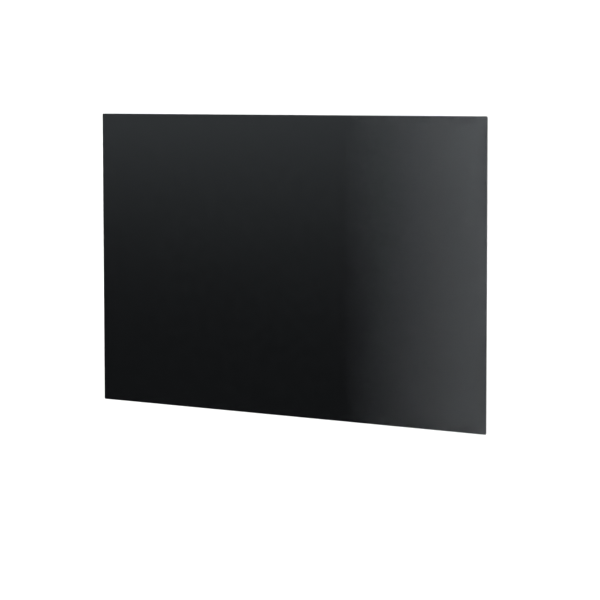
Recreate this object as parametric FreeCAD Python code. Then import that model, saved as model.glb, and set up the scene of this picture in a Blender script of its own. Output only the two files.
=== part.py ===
import FreeCAD, Part
import math
import os

Vector = FreeCAD.Vector

# All sizes are in millimetres.
# The filter lies on its back: +X runs to its right, +Y to its upper edge and +Z out of its front face.
# The origin is under the middle of the sheet, on the plane that the adhesive strips rest on.

# Sheet: louvred film between two clear faces, cut for a 24-inch picture area of 16:10
SHEET_WIDTH = 518.0
SHEET_HEIGHT = 324.0
SHEET_THICKNESS = 0.5
SHEET_CORNER_RADIUS = 1.5

# Rounding that the cutting die leaves along the edge of the front face
FRONT_EDGE_RADIUS = 0.12

# Clear double-sided adhesive strips on the back, a pair at each corner
STRIP_LENGTH = 90.0
STRIP_WIDTH = 6.0
STRIP_THICKNESS = 0.3
STRIP_CORNER_RADIUS = 0.8

# From the edge of the sheet to the long side of the strip beside it
STRIP_EDGE_INSET = 1.5

# Between the two strips of a pair, where one ends beside the other
STRIP_PAIR_GAP = 4.5

# How near an edge's height must be to a face's height to lie on that face
SAME_HEIGHT = 1e-6


def rounded_outline(size_x, size_y, radius):
    """Closed outline of a rectangle with round corners, centred on the origin."""
    arcs = []
    for turn, (side_x, side_y) in enumerate([(1, 1), (-1, 1), (-1, -1), (1, -1)]):
        centre = Vector(side_x * (size_x / 2 - radius), side_y * (size_y / 2 - radius), 0)
        start = turn * math.pi / 2
        circle = Part.Circle(centre, Vector(0, 0, 1), radius)
        arcs.append(Part.ArcOfCircle(circle, start, start + math.pi / 2))
    edges = []
    for arc, next_arc in zip(arcs, arcs[1:] + arcs[:1]):
        edges.append(arc.toShape())
        edges.append(Part.LineSegment(arc.EndPoint, next_arc.StartPoint).toShape())
    return Part.Wire(edges)


def plate(size_x, size_y, thickness, radius, underside):
    """Flat plate with round corners whose underside is centred on the point given."""
    solid = Part.Face(rounded_outline(size_x, size_y, radius)).extrude(Vector(0, 0, thickness))
    solid.translate(underside)
    return solid


def filter_sheet():
    """The sheet, carried by the strips, with its front edge rounded over all the way round."""
    back = STRIP_THICKNESS
    front = back + SHEET_THICKNESS
    sheet = plate(SHEET_WIDTH, SHEET_HEIGHT, SHEET_THICKNESS, SHEET_CORNER_RADIUS, Vector(0, 0, back))
    rim = [edge for edge in sheet.Edges if edge.BoundBox.ZMin > front - SAME_HEIGHT]
    return sheet.makeFillet(FRONT_EDGE_RADIUS, rim)


def adhesive_strips():
    """The strips by name: at each corner one lies along the width and one along the height."""
    beside_edge = STRIP_EDGE_INSET + STRIP_WIDTH / 2
    clear_of_pair = STRIP_EDGE_INSET + STRIP_WIDTH + STRIP_PAIR_GAP + STRIP_LENGTH / 2
    strips = {}
    for side_x, across in ((-1, "left"), (1, "right")):
        for side_y, edge, end in ((1, "top", "upper"), (-1, "bottom", "lower")):
            along_width = Vector(
                side_x * (SHEET_WIDTH / 2 - clear_of_pair), side_y * (SHEET_HEIGHT / 2 - beside_edge), 0
            )
            along_height = Vector(
                side_x * (SHEET_WIDTH / 2 - beside_edge), side_y * (SHEET_HEIGHT / 2 - clear_of_pair), 0
            )
            strips[f"strip_{edge}_{across}"] = plate(
                STRIP_LENGTH, STRIP_WIDTH, STRIP_THICKNESS, STRIP_CORNER_RADIUS, along_width
            )
            strips[f"strip_{across}_{end}"] = plate(
                STRIP_WIDTH, STRIP_LENGTH, STRIP_THICKNESS, STRIP_CORNER_RADIUS, along_height
            )
    return strips


pieces = {"filter_sheet": filter_sheet(), **adhesive_strips()}
os.makedirs("parts", exist_ok=True)
for name, shape in pieces.items():
    shape.exportStep(f"parts/{name}.step")
    print(name, "valid" if shape.isValid() else "NOT VALID", round(shape.Volume, 2), "mm3")
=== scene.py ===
import math

import bpy
from bpy.props import FloatProperty, FloatVectorProperty, PointerProperty
from mathutils import Matrix, Vector


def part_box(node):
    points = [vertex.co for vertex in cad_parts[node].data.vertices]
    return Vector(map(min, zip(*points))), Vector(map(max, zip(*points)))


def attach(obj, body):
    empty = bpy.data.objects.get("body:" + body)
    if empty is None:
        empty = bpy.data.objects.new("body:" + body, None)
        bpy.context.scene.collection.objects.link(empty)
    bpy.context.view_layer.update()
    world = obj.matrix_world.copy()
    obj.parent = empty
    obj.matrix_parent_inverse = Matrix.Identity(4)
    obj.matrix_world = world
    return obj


bl_info = {
    "name": "Monitor Privacy Filter",
    "version": (1, 0, 0),
    "blender": (4, 5, 0),
    "location": "View3D > Sidebar > Privacy Filter",
    "description": "Gives a louvred privacy filter its film, louvres and adhesive, and sets the stage",
    "category": "Add Mesh",
}

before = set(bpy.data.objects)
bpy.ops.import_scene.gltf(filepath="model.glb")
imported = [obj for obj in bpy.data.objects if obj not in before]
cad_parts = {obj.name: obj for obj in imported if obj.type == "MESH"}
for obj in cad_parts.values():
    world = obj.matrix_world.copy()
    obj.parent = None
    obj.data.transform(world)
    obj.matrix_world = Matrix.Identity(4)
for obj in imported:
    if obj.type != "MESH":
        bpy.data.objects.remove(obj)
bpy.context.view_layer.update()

MM = 0.001
BODY = "root"
SHEET_NODE = "filter_sheet"
STRIP_PREFIX = "strip_"

# How near a vertex's place must be to a side's place to lie on that side
SAME_PLACE = 0.001 * MM

# How near a vertex must be to a cutting plane to count as on it
ON_PLANE = SAME_PLACE / 10

# The louvres run along this direction, and so do the lights and the upright of the picture
LOUVRE_RUN = Vector((0.0, 1.0, 0.0))

# Flats that cut the louvres off along each round corner of the sheet
CORNER_FLATS = 3

# A face whose normal rises by less than this is one of a piece's cut sides
CUT_SIDE_RISE = 0.5

# A clear face throws back more light the further it turns away, by this power
GRAZING_POWER = 5.0

# The blend at which Layer Weight gives the plain turn away from the viewer
PLAIN_BLEND = 0.5

# Colour of light that passes unchanged
UNTINTED = (1.0, 1.0, 1.0)

# Layers of finer noise inside each patch of a noise pattern
NOISE_DETAIL = 2.0

# Noise patterns mostly keep between these two values
NOISE_RANGE = (0.3, 0.7)


# Sizes and colours that a user would change

class FilmSettings(bpy.types.PropertyGroup):
    """Tint of the clear film, and finish of its anti-glare face and cut edge"""

    tint: FloatVectorProperty(
        name="Tint",
        description="Colour of the light that each clear face lets through",
        default=(0.977, 0.988, 1.0),
        min=0.0,
        max=1.0,
        subtype="COLOR",
    )
    gloss_colour: FloatVectorProperty(
        name="Gloss Colour",
        description="Colour of the light that the anti-glare face throws back",
        default=(0.86, 0.95, 1.0),
        min=0.0,
        max=1.0,
        subtype="COLOR",
    )
    smoothest: FloatProperty(
        name="Smoothest",
        description="Roughness of the anti-glare face where its coat is smoothest",
        default=0.30,
        min=0.0,
        max=1.0,
        subtype="FACTOR",
    )
    roughest: FloatProperty(
        name="Roughest",
        description="Roughness of the anti-glare face where its coat is roughest",
        default=0.31,
        min=0.0,
        max=1.0,
        subtype="FACTOR",
    )
    head_on_gloss: FloatProperty(
        name="Head-on Gloss",
        description="Share of the light thrown back when the face is seen square on",
        default=0.04,
        min=0.0,
        max=1.0,
        subtype="FACTOR",
    )
    grain_size: FloatProperty(
        name="Grain Size",
        description="Width of one grain of the anti-glare coat",
        default=0.3 * MM,
        unit="LENGTH",
        precision=5,
    )
    grain_height: FloatProperty(
        name="Grain Height",
        description="How far the grain stands up from the face",
        default=0.002 * MM,
        unit="LENGTH",
        precision=6,
    )
    cloud_size: FloatProperty(
        name="Cloud Size",
        description="Width of the patches where the coat is smoother or rougher",
        default=70 * MM,
        unit="LENGTH",
    )
    edge_colour: FloatVectorProperty(
        name="Edge Colour",
        description="Colour of the haze that the knife leaves on the cut edge",
        default=(0.06, 0.062, 0.066),
        min=0.0,
        max=1.0,
        subtype="COLOR",
    )
    edge_roughness: FloatProperty(
        name="Edge Roughness",
        description="Roughness of the cut edge",
        default=0.45,
        min=0.0,
        max=1.0,
        subtype="FACTOR",
    )
    clearest_edge: FloatProperty(
        name="Clearest Edge",
        description="Haze of the cut edge where the knife ran clean",
        default=0.5,
        min=0.0,
        max=1.0,
        subtype="FACTOR",
    )
    haziest_edge: FloatProperty(
        name="Haziest Edge",
        description="Haze of the cut edge where the knife dragged",
        default=0.8,
        min=0.0,
        max=1.0,
        subtype="FACTOR",
    )
    drag_size: FloatProperty(
        name="Drag Size",
        description="Length of the stretches where the knife dragged",
        default=3.0 * MM,
        unit="LENGTH",
        precision=4,
    )


class LouvreSettings(bpy.types.PropertyGroup):
    """Sizes and colour of the black louvres inside the film"""

    pitch: FloatProperty(
        name="Pitch",
        description="From one louvre to the next",
        default=0.47 * MM,
        unit="LENGTH",
        precision=5,
    )
    cutoff_angle: FloatProperty(
        name="Cut-off Angle",
        description="How far to the side the film can still be seen through",
        default=math.radians(36.4),
        subtype="ANGLE",
    )
    taper: FloatProperty(
        name="Taper",
        description="How much thinner a louvre is at its crest than at its foot",
        default=0.016 * MM,
        unit="LENGTH",
        precision=5,
    )
    cover: FloatProperty(
        name="Cover",
        description="Clear film above and below the louvres",
        default=0.03 * MM,
        unit="LENGTH",
        precision=5,
    )
    edge_inset: FloatProperty(
        name="Edge Inset",
        description="From the cut edge of the sheet to the end of a louvre",
        default=0.05 * MM,
        unit="LENGTH",
        precision=5,
    )
    darkest: FloatVectorProperty(
        name="Darkest",
        description="Colour of the louvres where their black is deepest",
        default=(0.002, 0.002, 0.0023),
        min=0.0,
        max=1.0,
        subtype="COLOR",
    )
    greyest: FloatVectorProperty(
        name="Greyest",
        description="Colour of the louvres where their black is thinnest",
        default=(0.004, 0.004, 0.0045),
        min=0.0,
        max=1.0,
        subtype="COLOR",
    )
    patch_size: FloatProperty(
        name="Patch Size",
        description="Length of the patches where the black is deeper or thinner",
        default=12.0 * MM,
        unit="LENGTH",
        precision=4,
    )
    roughness: FloatProperty(
        name="Roughness",
        description="Roughness of the louvres",
        default=0.6,
        min=0.0,
        max=1.0,
        subtype="FACTOR",
    )
    shine: FloatProperty(
        name="Shine",
        description="Strength of the louvres' own gloss, which the laminate around them takes away",
        default=0.0,
        min=0.0,
        max=1.0,
        subtype="FACTOR",
    )


class AdhesiveSettings(bpy.types.PropertyGroup):
    """Finish of the clear adhesive strips"""

    colour: FloatVectorProperty(
        name="Colour",
        description="Colour of the milky haze in the adhesive",
        default=(0.80, 0.83, 0.85),
        min=0.0,
        max=1.0,
        subtype="COLOR",
    )
    least_haze: FloatProperty(
        name="Least Haze",
        description="Share of the light that the clearest adhesive stops",
        default=0.05,
        min=0.0,
        max=1.0,
        subtype="FACTOR",
    )
    most_haze: FloatProperty(
        name="Most Haze",
        description="Share of the light that the cloudiest adhesive stops",
        default=0.09,
        min=0.0,
        max=1.0,
        subtype="FACTOR",
    )
    side_haze: FloatProperty(
        name="Side Haze",
        description="Further share of the light that the strips' cut sides stop",
        default=0.3,
        min=0.0,
        max=1.0,
        subtype="FACTOR",
    )
    bubble_size: FloatProperty(
        name="Bubble Size",
        description="Width of the patches where the adhesive has wetted less",
        default=8.0 * MM,
        unit="LENGTH",
        precision=4,
    )
    smoothest: FloatProperty(
        name="Smoothest",
        description="Roughness of the clearest adhesive",
        default=0.2,
        min=0.0,
        max=1.0,
        subtype="FACTOR",
    )
    roughest: FloatProperty(
        name="Roughest",
        description="Roughness of the cloudiest adhesive",
        default=0.4,
        min=0.0,
        max=1.0,
        subtype="FACTOR",
    )


class StageSettings(bpy.types.PropertyGroup):
    """Camera, floor and lights"""

    side_angle: FloatProperty(
        name="Side Angle",
        description="How far the camera stands to the right of the sheet's normal",
        default=math.radians(37.67),
        subtype="ANGLE",
    )
    rise_angle: FloatProperty(
        name="Rise Angle",
        description="How far the camera stands towards the sheet's upper edge",
        default=math.radians(3.95),
        subtype="ANGLE",
    )
    roll_angle: FloatProperty(
        name="Roll Angle",
        description="How far the camera is rolled",
        default=math.radians(-0.075),
        subtype="ANGLE",
    )
    distance: FloatProperty(
        name="Distance",
        description="From the middle of the sheet to the camera",
        default=2.8119,
        unit="LENGTH",
    )
    aim_right: FloatProperty(
        name="Aim Right",
        description="From the middle of the sheet to the aim point, to the right",
        default=20.99 * MM,
        unit="LENGTH",
        precision=5,
    )
    aim_up: FloatProperty(
        name="Aim Up",
        description="From the middle of the sheet to the aim point, towards its upper edge",
        default=-35.57 * MM,
        unit="LENGTH",
        precision=5,
    )
    lens: FloatProperty(
        name="Lens",
        description="Focal length of the camera",
        default=157.1,
        unit="CAMERA",
    )
    floor_size: FloatProperty(
        name="Floor Size",
        description="Length of the floor's sides",
        default=16.0,
        unit="LENGTH",
    )
    floor_colour: FloatVectorProperty(
        name="Floor Colour",
        description="Colour of the floor",
        default=(0.86, 0.86, 0.86),
        min=0.0,
        max=1.0,
        subtype="COLOR",
    )
    floor_roughness: FloatProperty(
        name="Floor Roughness",
        description="Roughness of the floor",
        default=0.9,
        min=0.0,
        max=1.0,
        subtype="FACTOR",
    )
    floor_shine: FloatProperty(
        name="Floor Shine",
        description="Strength of the floor's gloss",
        default=0.1,
        min=0.0,
        max=1.0,
        subtype="FACTOR",
    )
    floor_gap: FloatProperty(
        name="Floor Gap",
        description="Hairline between the floor and the strips, so that their faces don't coincide",
        default=0.03 * MM,
        unit="LENGTH",
        precision=5,
    )
    key_power: FloatProperty(
        name="Key Power",
        description="Power of each of the two softboxes that light the floor",
        default=192.0,
        unit="POWER",
    )
    key_size: FloatVectorProperty(
        name="Key Size",
        description="Width of a softbox, and its length along the louvres",
        size=2,
        default=(0.3, 2.4),
        unit="LENGTH",
    )
    key_place: FloatVectorProperty(
        name="Key Place",
        description="Place of the softbox past the sheet's upper edge. The other one mirrors it",
        default=(-1.12, 2.2, 4.7),
        subtype="TRANSLATION",
        unit="LENGTH",
    )
    panel_power: FloatProperty(
        name="Panel Power",
        description="Power of the panel that the film mirrors towards its upper edge",
        default=9.0,
        unit="POWER",
    )
    panel_size: FloatVectorProperty(
        name="Panel Size",
        description="Width of the panel, and its length along the louvres",
        size=2,
        default=(1.55, 1.6),
        unit="LENGTH",
    )
    panel_place: FloatVectorProperty(
        name="Panel Place",
        description="Place of the panel. It faces across the louvres",
        default=(-1.22, 0.90, 1.58),
        subtype="TRANSLATION",
        unit="LENGTH",
    )
    wall_light: FloatProperty(
        name="Wall Light",
        description="Brightness of the room near the horizon",
        default=0.8,
    )
    wall_top: FloatProperty(
        name="Wall Top",
        description="How high the bright part of the room reaches, as the sine of its angle",
        default=0.15,
        min=0.0,
        max=1.0,
        subtype="FACTOR",
    )
    ceiling_light: FloatProperty(
        name="Ceiling Light",
        description="Brightness of the room overhead",
        default=0.12,
    )
    ceiling_edge: FloatProperty(
        name="Ceiling Edge",
        description="How high the dim part of the room begins, as the sine of its angle",
        default=0.5,
        min=0.0,
        max=1.0,
        subtype="FACTOR",
    )


# Helpers for objects and node trees

def deselect_all():
    """Leave nothing selected, so that the next operator acts on the new piece alone."""
    if bpy.context.mode != "OBJECT":
        bpy.ops.object.mode_set(mode="OBJECT")
    bpy.ops.object.select_all(action="DESELECT")


def select_vertices(piece, wanted):
    """Select only the vertices whose place passes the test, for the next edit-mode operator."""
    bpy.ops.object.mode_set(mode="EDIT")
    bpy.ops.mesh.select_mode(type="VERT")
    bpy.ops.mesh.select_all(action="DESELECT")
    bpy.ops.object.mode_set(mode="OBJECT")
    for vertex in piece.data.vertices:
        vertex.select = wanted(vertex.co)


def empty_material(name):
    """A material with only its output node, and that node."""
    material = bpy.data.materials.new(name)
    material.use_nodes = True
    material.node_tree.nodes.clear()
    return material, material.node_tree.nodes.new("ShaderNodeOutputMaterial")


def add_node(tree, kind, **values):
    """A node of that kind, with its inputs set by name."""
    node = tree.nodes.new(kind)
    for name, value in values.items():
        node.inputs[name].default_value = value
    return node


def maths(tree, operation, first, second=None):
    """A Math node's output. The first operand is a socket, the second a number, a socket or left out."""
    node = tree.nodes.new("ShaderNodeMath")
    node.operation = operation
    tree.links.new(first, node.inputs[0])
    if isinstance(second, bpy.types.NodeSocket):
        tree.links.new(second, node.inputs[1])
    elif second is not None:
        node.inputs[1].default_value = second
    return node.outputs[0]


def noise(tree, patch_size):
    """A noise pattern's factor on the piece's own coordinates, with patches about that wide."""
    place = tree.nodes.new("ShaderNodeTexCoord").outputs["Object"]
    pattern = add_node(tree, "ShaderNodeTexNoise", Scale=1.0 / patch_size, Detail=NOISE_DETAIL)
    tree.links.new(place, pattern.inputs["Vector"])
    return pattern.outputs["Fac"]


def spread(tree, pattern, lowest, highest):
    """A noise pattern spread from lowest to highest."""
    node = add_node(
        tree,
        "ShaderNodeMapRange",
        **{"From Min": NOISE_RANGE[0], "From Max": NOISE_RANGE[1], "To Min": lowest, "To Max": highest},
    )
    tree.links.new(pattern, node.inputs["Value"])
    return node.outputs["Result"]


def colour_ramp(tree, factor, positions, colours):
    """A colour that runs from the first of two colours to the second, between two positions."""
    node = tree.nodes.new("ShaderNodeValToRGB")
    for stop, position, colour in zip(node.color_ramp.elements, positions, colours):
        stop.position = position
        stop.color = (*colour, 1.0)
    tree.links.new(factor, node.inputs["Fac"])
    return node.outputs["Color"]


def rise_of(tree, direction):
    """The upward share of a direction, from -1 to 1."""
    parts = tree.nodes.new("ShaderNodeSeparateXYZ")
    tree.links.new(direction, parts.inputs[0])
    return parts.outputs["Z"]


def on_cut_side(tree):
    """1 on a piece's cut sides, and 0 on its front and back."""
    normal = tree.nodes.new("ShaderNodeNewGeometry").outputs["True Normal"]
    rise = maths(tree, "ABSOLUTE", rise_of(tree, normal))
    return maths(tree, "LESS_THAN", rise, CUT_SIDE_RISE)


def clear_shader(tree, tint):
    """Clear plastic that lets light of that colour through."""
    return add_node(tree, "ShaderNodeBsdfTransparent", Color=(*tint, 1.0)).outputs[0]


def mix_shaders(tree, factor, first, second):
    """A Mix Shader's output: first where factor is 0, second where it is 1."""
    node = tree.nodes.new("ShaderNodeMixShader")
    for socket, source in zip(node.inputs, (factor, first, second)):
        tree.links.new(source, socket)
    return node.outputs[0]


def dress(piece, material):
    """Give every face of a piece that material."""
    if not piece.material_slots:
        piece.data.materials.append(material)
    for material_slot in piece.material_slots:
        material_slot.material = material


# Film: the clear laminate with its anti-glare face

def satin_gloss(tree, film, normal):
    """The soft gloss of the anti-glare coat, a little rougher in some patches than in others."""
    gloss = add_node(tree, "ShaderNodeBsdfGlossy", Color=(*film.gloss_colour, 1.0))
    gloss.distribution = "BECKMANN"
    clouds = noise(tree, film.cloud_size)
    tree.links.new(spread(tree, clouds, film.smoothest, film.roughest), gloss.inputs["Roughness"])
    tree.links.new(normal, gloss.inputs["Normal"])
    return gloss.outputs[0]


def gloss_share(tree, film, normal):
    """The share of light that the face throws back, which grows towards a grazing view."""
    turned = add_node(tree, "ShaderNodeLayerWeight", Blend=PLAIN_BLEND)
    tree.links.new(normal, turned.inputs["Normal"])
    grazing = maths(tree, "POWER", turned.outputs["Facing"], GRAZING_POWER)
    rise = maths(tree, "MULTIPLY", grazing, 1.0 - film.head_on_gloss)
    return maths(tree, "ADD", rise, film.head_on_gloss)


def cut_edge(tree, film):
    """The knife's haze on the clear edge, through which the ends of the louvres show."""
    haze = add_node(
        tree,
        "ShaderNodeBsdfPrincipled",
        **{"Base Color": (*film.edge_colour, 1.0), "Roughness": film.edge_roughness},
    )
    drag = noise(tree, film.drag_size)
    share = spread(tree, drag, film.clearest_edge, film.haziest_edge)
    return mix_shaders(tree, share, clear_shader(tree, film.tint), haze.outputs[0])


def anti_glare_film(film):
    """Clear film with a satin gloss on its faces and a haze on its cut edge."""
    material, output = empty_material("anti_glare_film")
    tree = material.node_tree
    grain = add_node(tree, "ShaderNodeBump", Strength=1.0, Distance=film.grain_height)
    tree.links.new(noise(tree, film.grain_size), grain.inputs["Height"])
    normal = grain.outputs["Normal"]
    gloss = satin_gloss(tree, film, normal)
    clear = clear_shader(tree, film.tint)
    face = mix_shaders(tree, gloss_share(tree, film, normal), clear, gloss)
    surface = mix_shaders(tree, on_cut_side(tree), face, cut_edge(tree, film))
    tree.links.new(surface, output.inputs["Surface"])
    return material


class PRIVACY_FILTER_OT_finish_film(bpy.types.Operator):
    """Give the sheet its clear film with an anti-glare face"""

    bl_idname = "privacy_filter.finish_film"
    bl_label = "Finish Film"

    def execute(self, context):
        dress(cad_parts[SHEET_NODE], anti_glare_film(context.scene.filter_film))
        return {"FINISHED"}


# Louvres: black slats that run from the lower edge to the upper one, side by side across the film

def corner_radius(sheet, high):
    """Radius of the sheet's corners: how far its straight side stops short of its top."""
    side = [v.co.y for v in sheet.data.vertices if abs(v.co.x - high.x) < SAME_PLACE]
    return high.y - max(side)


def foot_thickness(louvre, low, high):
    """Thickness at a louvre's foot that leaves the gap which shuts at the cut-off angle."""
    height = high.z - low.z - 2 * louvre.cover
    gap = height * math.tan(louvre.cutoff_angle)
    return louvre.pitch - gap + louvre.taper / 2


def first_louvre(louvre, low, high):
    """The louvre at the left end: a bar, tapered towards its crest."""
    foot = low.z + louvre.cover
    crest = high.z - louvre.cover
    length = high.y - low.y - 2 * louvre.edge_inset
    thickness = foot_thickness(louvre, low, high)
    middle = Vector((low.x + louvre.edge_inset + thickness / 2, 0.0, (foot + crest) / 2))
    deselect_all()
    bpy.ops.mesh.primitive_cube_add(size=1.0, location=middle)
    bar = bpy.context.object
    bar.name = "micro_louvres"
    bar.scale = (thickness, length, crest - foot)
    bpy.ops.object.transform_apply(location=True, rotation=True, scale=True)
    select_vertices(bar, lambda place: place.z > middle.z)
    bpy.ops.object.mode_set(mode="EDIT")
    crest_share = 1.0 - louvre.taper / thickness
    bpy.ops.transform.resize(value=(crest_share, 1.0, 1.0), center_override=middle)
    bpy.ops.object.mode_set(mode="OBJECT")
    return bar


def repeat_louvre(bar, louvre, low, high):
    """Copy the louvre across the film, with the pitch eased so that the last one ends at the far edge."""
    run = high.x - low.x - 2 * louvre.edge_inset - foot_thickness(louvre, low, high)
    steps = round(run / louvre.pitch)
    row = bar.modifiers.new("row", "ARRAY")
    row.use_relative_offset = False
    row.use_constant_offset = True
    row.constant_offset_displace = (run / steps, 0.0, 0.0)
    row.count = steps + 1
    bpy.ops.object.modifier_apply(modifier=row.name)


def trim_corners(bar, louvre, high, radius):
    """Cut the louvres off along the sheet's round corners, by flats that lie inside the round."""
    turns = [math.pi / 2 * (flat + 1) / (CORNER_FLATS + 1) for flat in range(CORNER_FLATS)]
    reach = radius - louvre.edge_inset
    bpy.ops.object.mode_set(mode="EDIT")
    for side_x in (-1, 1):
        for side_y in (-1, 1):
            centre = Vector((side_x * (high.x - radius), side_y * (high.y - radius), 0.0))
            for turn in turns:
                outward = Vector((side_x * math.cos(turn), side_y * math.sin(turn), 0.0))
                bpy.ops.mesh.select_all(action="SELECT")
                bpy.ops.mesh.bisect(
                    plane_co=centre + reach * outward,
                    plane_no=outward,
                    use_fill=True,
                    clear_outer=True,
                    threshold=ON_PLANE,
                )
    bpy.ops.object.mode_set(mode="OBJECT")


def louvre_black(louvre):
    """Matt black, a little greyer in patches along a louvre."""
    material, output = empty_material("louvre_black")
    tree = material.node_tree
    shader = add_node(
        tree,
        "ShaderNodeBsdfPrincipled",
        **{"Roughness": louvre.roughness, "Specular IOR Level": louvre.shine},
    )
    patches = noise(tree, louvre.patch_size)
    black = colour_ramp(tree, patches, NOISE_RANGE, (louvre.darkest, louvre.greyest))
    tree.links.new(black, shader.inputs["Base Color"])
    tree.links.new(shader.outputs[0], output.inputs["Surface"])
    return material


class PRIVACY_FILTER_OT_add_louvres(bpy.types.Operator):
    """Model the black louvres that stand side by side inside the film"""

    bl_idname = "privacy_filter.add_louvres"
    bl_label = "Add Louvres"

    def execute(self, context):
        louvre = context.scene.filter_louvres
        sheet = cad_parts[SHEET_NODE]
        low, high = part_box(SHEET_NODE)
        louvres = first_louvre(louvre, low, high)
        repeat_louvre(louvres, louvre, low, high)
        trim_corners(louvres, louvre, high, corner_radius(sheet, high))
        dress(louvres, louvre_black(louvre))
        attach(louvres, BODY)
        return {"FINISHED"}


# Adhesive: the clear strips on the back

def clear_adhesive(adhesive):
    """Clear adhesive with a faint milky haze, cloudier where it has wetted less and on its cut sides."""
    material, output = empty_material("clear_adhesive")
    tree = material.node_tree
    bubbles = noise(tree, adhesive.bubble_size)
    milk = add_node(tree, "ShaderNodeBsdfPrincipled", **{"Base Color": (*adhesive.colour, 1.0)})
    roughness = spread(tree, bubbles, adhesive.smoothest, adhesive.roughest)
    tree.links.new(roughness, milk.inputs["Roughness"])
    haze = spread(tree, bubbles, adhesive.least_haze, adhesive.most_haze)
    side_haze = maths(tree, "MULTIPLY", on_cut_side(tree), adhesive.side_haze)
    share = maths(tree, "ADD", haze, side_haze)
    surface = mix_shaders(tree, share, clear_shader(tree, UNTINTED), milk.outputs[0])
    tree.links.new(surface, output.inputs["Surface"])
    return material


class PRIVACY_FILTER_OT_finish_strips(bpy.types.Operator):
    """Give the adhesive strips their clear, slightly milky finish"""

    bl_idname = "privacy_filter.finish_strips"
    bl_label = "Finish Adhesive Strips"

    def execute(self, context):
        material = clear_adhesive(context.scene.filter_adhesive)
        for name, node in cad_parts.items():
            if name.startswith(STRIP_PREFIX):
                dress(node, material)
        return {"FINISHED"}


# Stage: floor, lights and camera

def add_floor(stage):
    """A plain pale floor, a hairline below the strips."""
    deselect_all()
    bpy.ops.mesh.primitive_plane_add(size=stage.floor_size, location=(0.0, 0.0, -stage.floor_gap))
    floor = bpy.context.object
    floor.name = "floor"
    bpy.ops.object.transform_apply(location=True, rotation=True, scale=True)
    material, output = empty_material("pale_floor")
    shader = add_node(
        material.node_tree,
        "ShaderNodeBsdfPrincipled",
        **{
            "Base Color": (*stage.floor_colour, 1.0),
            "Roughness": stage.floor_roughness,
            "Specular IOR Level": stage.floor_shine,
        },
    )
    material.node_tree.links.new(shader.outputs[0], output.inputs["Surface"])
    dress(floor, material)


def facing(place, target):
    """The matrix of a light or camera at place that faces target, with its upright along the louvres."""
    forward = (target - place).normalized()
    right = forward.cross(LOUVRE_RUN).normalized()
    upright = right.cross(forward)
    turn = Matrix((right, upright, -forward)).transposed()
    return Matrix.Translation(place) @ turn.to_4x4()


def add_softbox(name, power, size, place, target):
    """A rectangular softbox at place that faces target, unseen by the camera itself."""
    light = bpy.data.lights.new(name, "AREA")
    light.shape = "RECTANGLE"
    light.size, light.size_y = size
    light.energy = power
    softbox = bpy.data.objects.new(name, light)
    bpy.context.scene.collection.objects.link(softbox)
    softbox.matrix_world = facing(place, target)
    softbox.visible_camera = False
    return softbox


def keep_off_film(softbox):
    """Leave the clear sheet out of what a light falls on, so that its gleam comes from the panel."""
    receivers = bpy.data.collections.new(softbox.name + "_receivers")
    receivers.objects.link(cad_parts[SHEET_NODE])
    for receiver in receivers.collection_objects:
        receiver.light_linking.link_state = "EXCLUDE"
    softbox.light_linking.receiver_collection = receivers


def add_lights(stage):
    """A softbox at each end of the louvres, and the panel mirrored by the film's upper part."""
    right, along, height = stage.key_place
    middle = Vector((0.0, 0.0, 0.0))
    for name, side in (("softbox_upper", 1), ("softbox_lower", -1)):
        place = Vector((right, side * along, height))
        softbox = add_softbox(name, stage.key_power, stage.key_size, place, middle)
        keep_off_film(softbox)
    panel = Vector(stage.panel_place)
    across = Vector((0.0, panel.y, 0.0))
    add_softbox("gradient_panel", stage.panel_power, stage.panel_size, panel, across)


def add_surroundings(stage):
    """A dim room with pale walls: bright near the horizon and darker above."""
    world = bpy.data.worlds.new("studio")
    world.use_nodes = True
    bpy.context.scene.world = world
    tree = world.node_tree
    tree.nodes.clear()
    direction = tree.nodes.new("ShaderNodeTexCoord").outputs["Generated"]
    heights = (stage.wall_top, stage.ceiling_edge)
    greys = ([stage.wall_light] * 3, [stage.ceiling_light] * 3)
    background = tree.nodes.new("ShaderNodeBackground")
    light = colour_ramp(tree, rise_of(tree, direction), heights, greys)
    tree.links.new(light, background.inputs["Color"])
    output = tree.nodes.new("ShaderNodeOutputWorld")
    tree.links.new(background.outputs[0], output.inputs["Surface"])


def add_camera(stage):
    """The camera looks down on the sheet from its right, with the sheet's upper edge up in the picture."""
    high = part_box(SHEET_NODE)[1]
    face = Vector((0.0, 0.0, high.z))
    side, rise = stage.side_angle, stage.rise_angle
    towards = Vector(
        (math.sin(side) * math.cos(rise), math.sin(rise), math.cos(side) * math.cos(rise))
    )
    aim = face + Vector((stage.aim_right, stage.aim_up, 0.0))
    data = bpy.data.cameras.new("camera")
    data.lens = stage.lens
    camera = bpy.data.objects.new("camera", data)
    bpy.context.scene.collection.objects.link(camera)
    level = facing(face + stage.distance * towards, aim)
    camera.matrix_world = level @ Matrix.Rotation(stage.roll_angle, 4, "Z")
    bpy.context.scene.camera = camera


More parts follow.
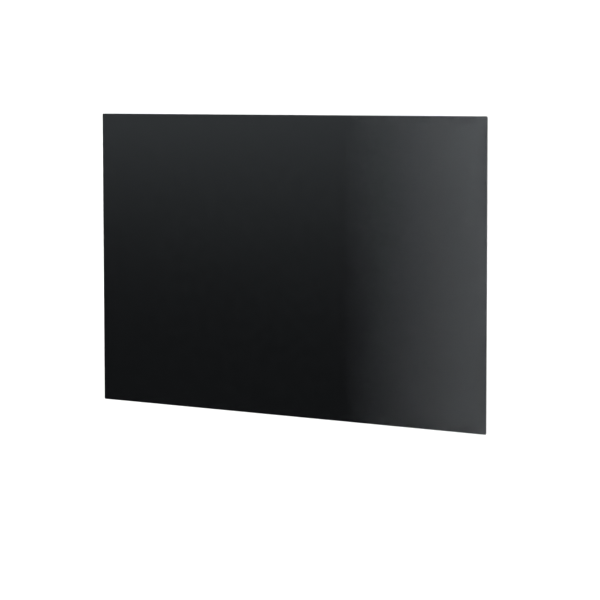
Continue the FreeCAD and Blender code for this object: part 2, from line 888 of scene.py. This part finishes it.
class PRIVACY_FILTER_OT_set_stage(bpy.types.Operator):
    """Lay the floor, hang the softboxes and place the camera"""

    bl_idname = "privacy_filter.set_stage"
    bl_label = "Set Stage"

    def execute(self, context):
        stage = context.scene.filter_stage
        context.scene.view_settings.view_transform = "Standard"
        add_floor(stage)
        add_lights(stage)
        add_surroundings(stage)
        add_camera(stage)
        return {"FINISHED"}


# Panel and registration

class PRIVACY_FILTER_PT_build(bpy.types.Panel):
    """Lists the filter's pieces in the order that they are made"""

    bl_idname = "PRIVACY_FILTER_PT_build"
    bl_label = "Privacy Filter"
    bl_space_type = "VIEW_3D"
    bl_region_type = "UI"
    bl_category = "Privacy Filter"

    def draw(self, context):
        for operator in OPERATORS:
            self.layout.operator(operator.bl_idname)


SETTINGS = {
    "filter_film": FilmSettings,
    "filter_louvres": LouvreSettings,
    "filter_adhesive": AdhesiveSettings,
    "filter_stage": StageSettings,
}
OPERATORS = (
    PRIVACY_FILTER_OT_finish_film,
    PRIVACY_FILTER_OT_add_louvres,
    PRIVACY_FILTER_OT_finish_strips,
    PRIVACY_FILTER_OT_set_stage,
)


def register():
    """Make the settings, the operators and the panel known."""
    for settings in SETTINGS.values():
        bpy.utils.register_class(settings)
    for name, settings in SETTINGS.items():
        setattr(bpy.types.Scene, name, PointerProperty(type=settings))
    for operator in OPERATORS:
        bpy.utils.register_class(operator)
    bpy.utils.register_class(PRIVACY_FILTER_PT_build)


def unregister():
    """Take the panel, the operators and the settings away again."""
    bpy.utils.unregister_class(PRIVACY_FILTER_PT_build)
    for operator in reversed(OPERATORS):
        bpy.utils.unregister_class(operator)
    for name in reversed(SETTINGS):
        delattr(bpy.types.Scene, name)
    for settings in reversed(SETTINGS.values()):
        bpy.utils.unregister_class(settings)


def main():
    """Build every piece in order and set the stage."""
    register()
    bpy.ops.privacy_filter.finish_film()
    bpy.ops.privacy_filter.add_louvres()
    bpy.ops.privacy_filter.finish_strips()
    bpy.ops.privacy_filter.set_stage()


if __name__ == "__main__":
    main()
